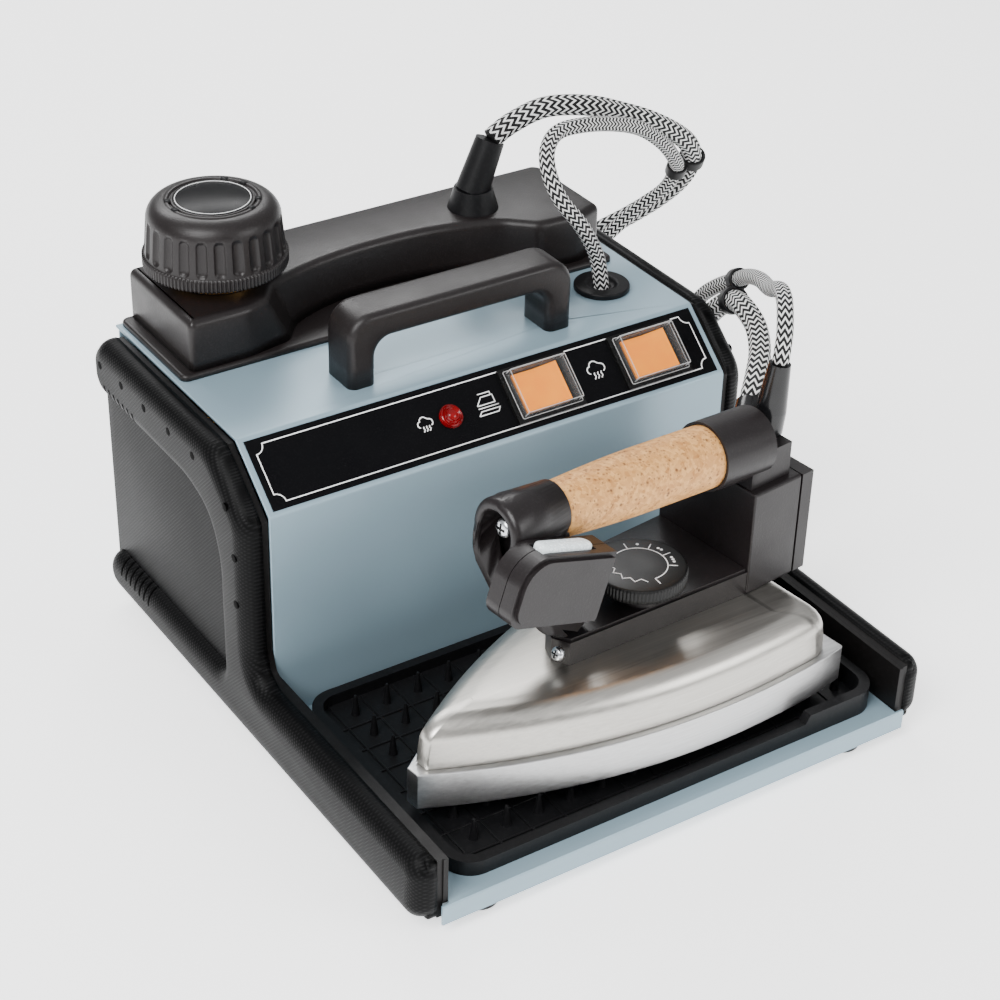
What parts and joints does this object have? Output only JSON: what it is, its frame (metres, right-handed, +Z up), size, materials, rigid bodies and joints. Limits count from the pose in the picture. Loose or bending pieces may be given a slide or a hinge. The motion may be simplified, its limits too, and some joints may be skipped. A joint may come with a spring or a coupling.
{
  "type": "steam generator iron",
  "caption": "Dry iron with a cork grip resting on the mat of a box-shaped steam boiler unit, with rocker switches, a screw cap, a carrying handle, a steam hose and a cable.",
  "frame": {"origin": "centre of the footprint, on the surface the feet stand on", "axes": "X across the machine, from the safety cap's side to the hose's side; Y from the tray's lip to the back; Z up"},
  "size_m": [0.3685, 0.452, 0.24],
  "materials": {
    "blue_paint": "satin coating",
    "side_black": "fine diagonal texture",
    "frame_black": "satin coating",
    "overlay_black": "satin film with white symbols",
    "switch_black": "semi-gloss",
    "rocker_orange": "translucent",
    "clear_cover": "clear moulded plastic",
    "lamp_red": "faceted, translucent",
    "moulded_black": "grained",
    "brass": "turned",
    "boiler_steel": "satin",
    "copper": "drawn",
    "switch_grey": "moulded",
    "ceramic": "moulded",
    "soft_rubber": "matt",
    "gasket_rubber": "matt",
    "zinc_screw": "zinc plated",
    "sole_metal": "brushed along its length",
    "hood_steel": "satin",
    "iron_black": "satin, fine grain",
    "dial_black": "satin with white marks",
    "cork": "sealed cork",
    "button_white": "semi-gloss",
    "boot_black": "glossy",
    "braid": "black and white zigzag braid"
  },
  "bodies": {
    "machine": {"base_tray": "blue_paint", "body_shell": "blue_paint", "back_panel": "blue_paint", "side_frame_left": "frame_black", "side_frame_right": "frame_black", "side_cover_left": "side_black", "side_cover_right": "side_black", "control_overlay": "overlay_black", "switch_body_left": "switch_black", "switch_body_right": "switch_black", "splash_cover_left": "clear_cover", "splash_cover_right": "clear_cover", "lamp_holder": "lamp_red", "lamp_lens": "lamp_red", "carry_handle": "moulded_black", "handle_screws": "zinc_screw", "cap_housing": "moulded_black", "filler_neck": "brass", "boiler_tank": "boiler_steel", "boiler_element": "copper", "steam_valve": "brass", "steam_pipe": "copper", "pressure_switch": "switch_grey", "terminal_block": "ceramic", "hose_gland": "soft_rubber", "cable_grommet": "soft_rubber", "mains_gland": "soft_rubber", "rest_mat": "soft_rubber", "feet": "soft_rubber", "foot_screws": "zinc_screw", "hose_clips": "soft_rubber", "steam_hose_upper": "braid", "steam_hose_coil": "braid", "steam_hose_lower": "braid", "iron_cable_upper": "braid", "iron_cable_coil": "braid", "iron_cable_lower": "braid"},
    "rocker_left": {"rocker_left": "rocker_orange"},
    "rocker_right": {"rocker_right": "rocker_orange"},
    "cap_core": {"cap_plug": "brass", "cap_gasket": "gasket_rubber"},
    "cap": {"cap_shell": "moulded_black"},
    "iron": {"soleplate": "sole_metal", "sole_element": "boiler_steel", "iron_hood": "hood_steel", "iron_skirt": "iron_black", "iron_thermostat": "brass", "front_post": "iron_black", "cork_grip": "cork", "grip_rod": "zinc_screw", "rear_post": "iron_black", "rear_box": "iron_black", "rear_cover": "iron_black", "thumb_housing": "iron_black", "thumb_cover": "iron_black", "button_switch": "switch_grey", "cable_boot": "boot_black", "steam_inlet": "boot_black"},
    "dial": {"dial": "dial_black"},
    "steam_button": {"steam_button": "button_white"}
  },
  "joints": [
    {"name": "rocker_left_tilt", "type": "hinge", "parent": "machine", "child": "rocker_left", "pos_m": [0.028, 0.0124, 0.14136], "axis": [0, 0.7662, 0.6426], "range_deg": [0, 14]},
    {"name": "rocker_right_tilt", "type": "hinge", "parent": "machine", "child": "rocker_right", "pos_m": [0.093, 0.0124, 0.14136], "axis": [0, 0.7662, 0.6426], "range_deg": [0, 14]},
    {"name": "cap_lift", "type": "slide", "parent": "machine", "child": "cap_core", "axis": [0, 0, 1], "range_m": [0, 0.016], "stiffness_N_per_m": 4, "springref_m": 0.497},
    {"name": "cap_turn", "type": "hinge", "parent": "cap_core", "child": "cap", "pos_m": [-0.0875, 0.1239, 0.2], "axis": [0, 0, 1], "range_deg": [0, 1440]},
    {"name": "iron_lift", "type": "slide", "parent": "machine", "child": "iron", "axis": [0, 0, 1], "range_m": [0, 0.05], "deforming": ["steam_hose_lower", "iron_cable_lower"]},
    {"name": "dial_turn", "type": "hinge", "parent": "iron", "child": "dial", "pos_m": [0.01568, -0.09235, 0.1], "axis": [0, 0, 1], "range_deg": [-135, 135]},
    {"name": "steam_button_press", "type": "slide", "parent": "iron", "child": "steam_button", "axis": [-0.3233, -0.038, -0.9455], "range_m": [0, 0.0018], "stiffness_N_per_m": 300, "springref_m": -0.002}
  ],
  "couplings": [
    {"joint": "cap_lift", "follows": "cap_turn", "m_per_rad": 0.00063662}
  ]
}
